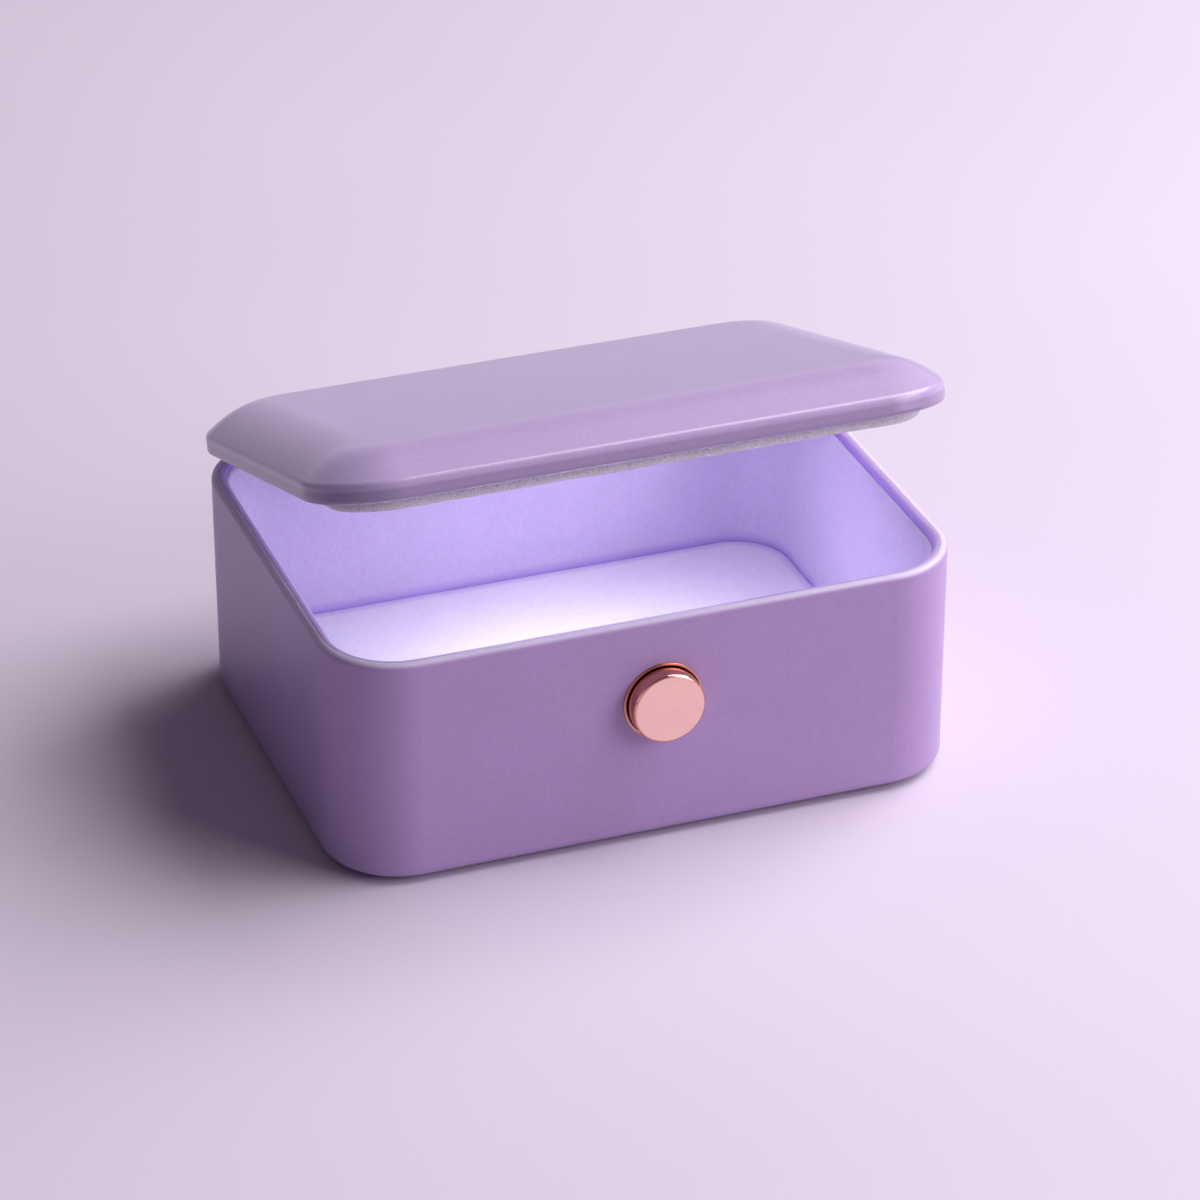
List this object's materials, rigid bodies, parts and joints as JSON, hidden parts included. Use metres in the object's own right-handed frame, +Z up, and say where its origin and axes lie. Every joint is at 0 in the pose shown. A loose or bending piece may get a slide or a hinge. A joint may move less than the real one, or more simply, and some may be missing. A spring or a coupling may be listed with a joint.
{
  "type": "uv sterilizer box",
  "caption": "Rounded lavender box with a hinged crowned lid, felt-lined chamber, ultraviolet light under the lid and a round push button on the front.",
  "frame": {"origin": "centre of the footprint on the surface the feet stand on", "axes": "+X to the right seen from the front, +Y to the back where the hinge is, +Z up"},
  "size_m": [0.181, 0.1488, 0.1205],
  "materials": {
    "body_plastic": "matte",
    "rim_plastic": "satin",
    "lid_plastic": "satin",
    "panel_plastic": "matte",
    "lining_felt": "matte",
    "floor_felt": "matte",
    "lid_felt": "matte",
    "rose_gold": "polished",
    "foot_rubber": "matte",
    "bumper_silicone": "satin",
    "steel": "satin",
    "magnet_nickel": "gloss",
    "sleeve_brass": "satin",
    "board_green": "satin",
    "board_white": "satin",
    "chip_black": "matte",
    "plug_ivory": "satin",
    "socket_steel": "satin",
    "switch_black": "satin",
    "battery_foil": "satin",
    "tape_foam": "matte",
    "lead_silicone": "satin",
    "window_glass": "polished",
    "reflector_silver": "polished",
    "diode": "satin"
  },
  "bodies": {
    "base": {"body_shell": "body_plastic", "inner_tub": "rim_plastic", "wall_lining": "lining_felt", "floor_pad": "floor_felt", "base_cover": "body_plastic", "base_screws": "steel", "rubber_feet": "foot_rubber", "battery_tape": "tape_foam", "battery_cell": "battery_foil", "main_board": "board_green", "board_chips": "chip_black", "board_connectors": "plug_ivory", "board_screws": "steel", "usb_socket": "socket_steel", "button_bezel": "rose_gold", "push_switch": "switch_black", "button_board": "board_green", "button_screws": "steel", "lid_sensor": "chip_black", "body_magnets": "magnet_nickel", "friction_sleeves": "sleeve_brass", "battery_lead": "lead_silicone", "button_lead": "lead_silicone", "light_lead_base": "lead_silicone"},
    "lid": {"lid_shell": "lid_plastic", "lid_panel": "panel_plastic", "lid_screws": "steel", "lid_pad": "lid_felt", "lid_bumpers": "bumper_silicone", "lid_magnets": "magnet_nickel", "hinge_pins": "steel", "light_window": "window_glass", "reflector": "reflector_silver", "light_board": "board_white", "light_screws": "steel", "uv_lights": "diode", "light_connector": "plug_ivory", "light_lead_lid": "lead_silicone"},
    "button": {"button_cap": "rose_gold", "switch_plunger": "switch_black"}
  },
  "joints": [
    {"name": "lid_hinge", "type": "hinge", "parent": "base", "child": "lid", "pos_m": [0, 0.0716, 0.0692], "axis": [-1, 0, 0], "range_deg": [-18.5, 81.5]},
    {"name": "button_press", "type": "slide", "parent": "base", "child": "button", "axis": [0, 1, 0], "range_m": [0, 0.00055], "stiffness_N_per_m": 3000, "springref_m": -0.0002}
  ]
}
